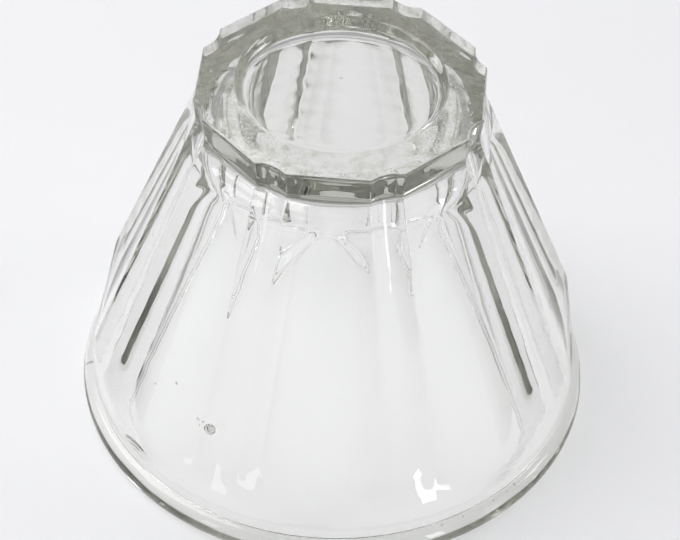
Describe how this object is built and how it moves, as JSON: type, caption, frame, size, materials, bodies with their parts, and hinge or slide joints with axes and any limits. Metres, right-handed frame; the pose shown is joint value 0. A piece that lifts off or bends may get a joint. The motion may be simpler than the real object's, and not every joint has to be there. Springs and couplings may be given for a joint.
{
  "type": "fluted glass jar",
  "caption": "Clear pressed-glass jar standing on its mouth: concave flutes between narrow ribs, plain band, rounded rim bead and a thick solid foot with a shallow round recess.",
  "frame": {"origin": "centre of the mouth, in the plane of the rim's flat resting ring", "axes": "+Z along the jar's axis from the mouth to the foot, as the jar stands upside down; +X and +Y lie in the plane of the mouth"},
  "size_m": [0.1, 0.1, 0.0755],
  "materials": {
    "clear_glass": "fire-polished pressed glass"
  },
  "bodies": {
    "root": {"glass_body": "clear_glass"}
  },
  "joints": []
}
